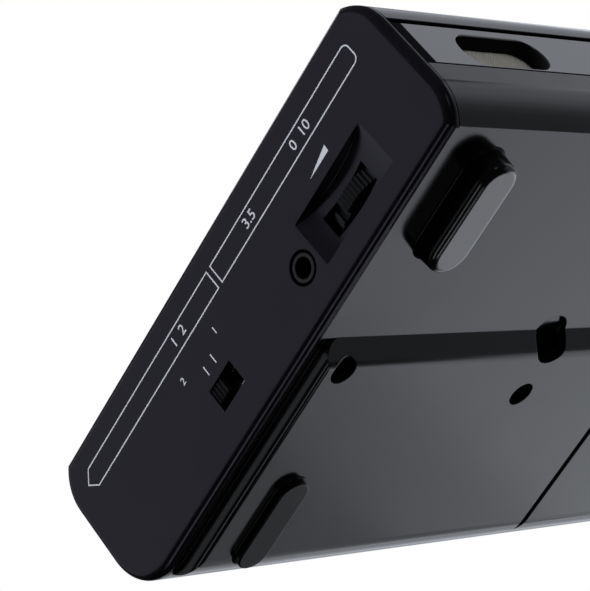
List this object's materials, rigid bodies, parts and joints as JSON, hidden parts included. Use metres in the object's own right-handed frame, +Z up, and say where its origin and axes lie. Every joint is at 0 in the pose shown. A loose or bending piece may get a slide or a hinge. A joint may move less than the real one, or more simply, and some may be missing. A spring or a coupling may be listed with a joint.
{
  "type": "digital multitrack recorder",
  "caption": "Flat pocket multitrack audio recorder with level knobs, transport keys, display, front stereo microphones, rear input jacks and a side volume wheel.",
  "frame": {"origin": "on the surface the feet stand on, under the middle of the case", "axes": "+X to the right side panel, +Y to the rear with its jacks, +Z up to the knobs"},
  "size_m": [0.155, 0.107, 0.0414],
  "materials": {
    "case_black": "satin moulded",
    "gloss_black": "glossy moulded",
    "side_black": "fine satin",
    "bar_gloss": "high gloss",
    "mesh": "champagne wire mesh",
    "plated": "nickel plated",
    "foot": "smooth elastomer",
    "screw": "black zinc",
    "lens": "polished clear over black",
    "display": "liquid crystal",
    "board": "solder mask",
    "inner_black": "moulded",
    "cell": "printed foil jacket",
    "jack_black": "moulded",
    "wheel": "fine moulded",
    "knob": "soft-touch",
    "key_grey": "moulded",
    "key_red": "moulded"
  },
  "bodies": {
    "case": {"top_cover": "case_black", "bottom_cover": "gloss_black", "left_side_panel": "side_black", "right_side_panel": "side_black", "mic_bar": "bar_gloss", "rear_panel": "side_black", "mic_grilles": "mesh", "mic_capsules": "plated", "front_feet": "foot", "rear_left_foot": "foot", "case_screws": "screw", "display_window": "lens", "display_module": "display", "main_board": "board", "panel_board": "board", "battery_tray": "inner_black", "battery_cells": "cell", "battery_contacts": "plated", "phones_jack": "jack_black", "input_jacks": "jack_black", "volume_pot": "inner_black", "input_switch_body": "plated", "power_switch_body": "plated", "usb_socket": "plated", "dc_jack": "jack_black", "card_socket": "plated", "knob_pots": "inner_black", "data_encoder": "inner_black", "key_switches": "inner_black"},
    "volume_wheel": {"volume_wheel": "wheel"},
    "input_slider": {"input_slider": "wheel"},
    "power_slider": {"power_slider": "wheel"},
    "battery_door": {"battery_door": "gloss_black", "rear_right_foot": "foot"},
    "card_door": {"card_door": "side_black"},
    "data_wheel": {"data_wheel": "knob"},
    "master_knob": {"master_knob": "knob"},
    "level_knob_1": {"level_knob_1": "knob"},
    "level_knob_2": {"level_knob_2": "knob"},
    "level_knob_3": {"level_knob_3": "knob"},
    "level_knob_4": {"level_knob_4": "knob"},
    "pan_knob_1": {"pan_knob_1": "knob"},
    "pan_knob_2": {"pan_knob_2": "knob"},
    "pan_knob_3": {"pan_knob_3": "knob"},
    "pan_knob_4": {"pan_knob_4": "knob"},
    "trim_knob_1": {"trim_knob_1": "knob"},
    "trim_knob_2": {"trim_knob_2": "knob"},
    "rewind_key": {"rewind_key": "key_grey"},
    "forward_key": {"forward_key": "key_grey"},
    "stop_key": {"stop_key": "key_grey"},
    "play_key": {"play_key": "key_grey"},
    "record_key": {"record_key": "key_red"},
    "arm_key_1": {"arm_key_1": "key_red"},
    "arm_key_2": {"arm_key_2": "key_red"},
    "arm_key_3": {"arm_key_3": "key_red"},
    "arm_key_4": {"arm_key_4": "key_red"},
    "menu_key_1": {"menu_key_1": "key_grey"},
    "menu_key_2": {"menu_key_2": "key_grey"},
    "menu_key_3": {"menu_key_3": "key_grey"},
    "menu_key_4": {"menu_key_4": "key_grey"}
  },
  "joints": [
    {"name": "volume_turn", "type": "hinge", "parent": "case", "child": "volume_wheel", "pos_m": [-0.0671, -0.028, 0.015], "axis": [0, 0, 1], "range_deg": [-140, 140]},
    {"name": "input_slide", "type": "slide", "parent": "case", "child": "input_slider", "axis": [0, -1, 0], "range_m": [0, 0.0037]},
    {"name": "power_slide", "type": "slide", "parent": "case", "child": "power_slider", "axis": [0, 1, 0], "range_m": [0, 0.003]},
    {"name": "door_slide", "type": "slide", "parent": "case", "child": "battery_door", "axis": [0, 1, 0], "range_m": [0, 0.05]},
    {"name": "card_door_hinge", "type": "hinge", "parent": "case", "child": "card_door", "pos_m": [0.0761, -0.0233, 0.009], "axis": [0, 1, 0], "range_deg": [0, 90]},
    {"name": "data_turn", "type": "hinge", "parent": "case", "child": "data_wheel", "pos_m": [0.044, -0.026, 0.0345], "axis": [0, 0, 1], "continuous": true},
    {"name": "master_turn", "type": "hinge", "parent": "case", "child": "master_knob", "pos_m": [-0.0175, 0.03798, 0.0345], "axis": [0, 0, 1], "range_deg": [-140, 140]},
    {"name": "level_1_turn", "type": "hinge", "parent": "case", "child": "level_knob_1", "pos_m": [-0.061, 0, 0.0345], "axis": [0, 0, 1], "range_deg": [-140, 140]},
    {"name": "level_2_turn", "type": "hinge", "parent": "case", "child": "level_knob_2", "pos_m": [-0.044, 0, 0.0345], "axis": [0, 0, 1], "range_deg": [-140, 140]},
    {"name": "level_3_turn", "type": "hinge", "parent": "case", "child": "level_knob_3", "pos_m": [-0.027, 0, 0.0345], "axis": [0, 0, 1], "range_deg": [-140, 140]},
    {"name": "level_4_turn", "type": "hinge", "parent": "case", "child": "level_knob_4", "pos_m": [-0.01, 0, 0.0345], "axis": [0, 0, 1], "range_deg": [-140, 140]},
    {"name": "pan_1_turn", "type": "hinge", "parent": "case", "child": "pan_knob_1", "pos_m": [-0.061, 0.01905, 0.0345], "axis": [0, 0, 1], "range_deg": [-140, 140]},
    {"name": "pan_2_turn", "type": "hinge", "parent": "case", "child": "pan_knob_2", "pos_m": [-0.044, 0.01905, 0.0345], "axis": [0, 0, 1], "range_deg": [-140, 140]},
    {"name": "pan_3_turn", "type": "hinge", "parent": "case", "child": "pan_knob_3", "pos_m": [-0.027, 0.01905, 0.0345], "axis": [0, 0, 1], "range_deg": [-140, 140]},
    {"name": "pan_4_turn", "type": "hinge", "parent": "case", "child": "pan_knob_4", "pos_m": [-0.01, 0.01905, 0.0345], "axis": [0, 0, 1], "range_deg": [-140, 140]},
    {"name": "trim_1_turn", "type": "hinge", "parent": "case", "child": "trim_knob_1", "pos_m": [-0.061, 0.03798, 0.0345], "axis": [0, 0, 1], "range_deg": [-140, 140]},
    {"name": "trim_2_turn", "type": "hinge", "parent": "case", "child": "trim_knob_2", "pos_m": [-0.044, 0.03798, 0.0345], "axis": [0, 0, 1], "range_deg": [-140, 140]},
    {"name": "rewind_press", "type": "slide", "parent": "case", "child": "rewind_key", "axis": [0, 0, -1], "range_m": [0, 0.0006], "stiffness_N_per_m": 600},
    {"name": "forward_press", "type": "slide", "parent": "case", "child": "forward_key", "axis": [0, 0, -1], "range_m": [0, 0.0006], "stiffness_N_per_m": 600},
    {"name": "stop_press", "type": "slide", "parent": "case", "child": "stop_key", "axis": [0, 0, -1], "range_m": [0, 0.0006], "stiffness_N_per_m": 600},
    {"name": "play_press", "type": "slide", "parent": "case", "child": "play_key", "axis": [0, 0, -1], "range_m": [0, 0.0006], "stiffness_N_per_m": 600},
    {"name": "record_press", "type": "slide", "parent": "case", "child": "record_key", "axis": [0, 0, -1], "range_m": [0, 0.0006], "stiffness_N_per_m": 600},
    {"name": "arm_1_press", "type": "slide", "parent": "case", "child": "arm_key_1", "axis": [0, 0, -1], "range_m": [0, 0.0006], "stiffness_N_per_m": 600},
    {"name": "arm_2_press", "type": "slide", "parent": "case", "child": "arm_key_2", "axis": [0, 0, -1], "range_m": [0, 0.0006], "stiffness_N_per_m": 600},
    {"name": "arm_3_press", "type": "slide", "parent": "case", "child": "arm_key_3", "axis": [0, 0, -1], "range_m": [0, 0.0006], "stiffness_N_per_m": 600},
    {"name": "arm_4_press", "type": "slide", "parent": "case", "child": "arm_key_4", "axis": [0, 0, -1], "range_m": [0, 0.0006], "stiffness_N_per_m": 600},
    {"name": "menu_1_press", "type": "slide", "parent": "case", "child": "menu_key_1", "axis": [0, 0, -1], "range_m": [0, 0.0006], "stiffness_N_per_m": 600},
    {"name": "menu_2_press", "type": "slide", "parent": "case", "child": "menu_key_2", "axis": [0, 0, -1], "range_m": [0, 0.0006], "stiffness_N_per_m": 600},
    {"name": "menu_3_press", "type": "slide", "parent": "case", "child": "menu_key_3", "axis": [0, 0, -1], "range_m": [0, 0.0006], "stiffness_N_per_m": 600},
    {"name": "menu_4_press", "type": "slide", "parent": "case", "child": "menu_key_4", "axis": [0, 0, -1], "range_m": [0, 0.0006], "stiffness_N_per_m": 600}
  ]
}
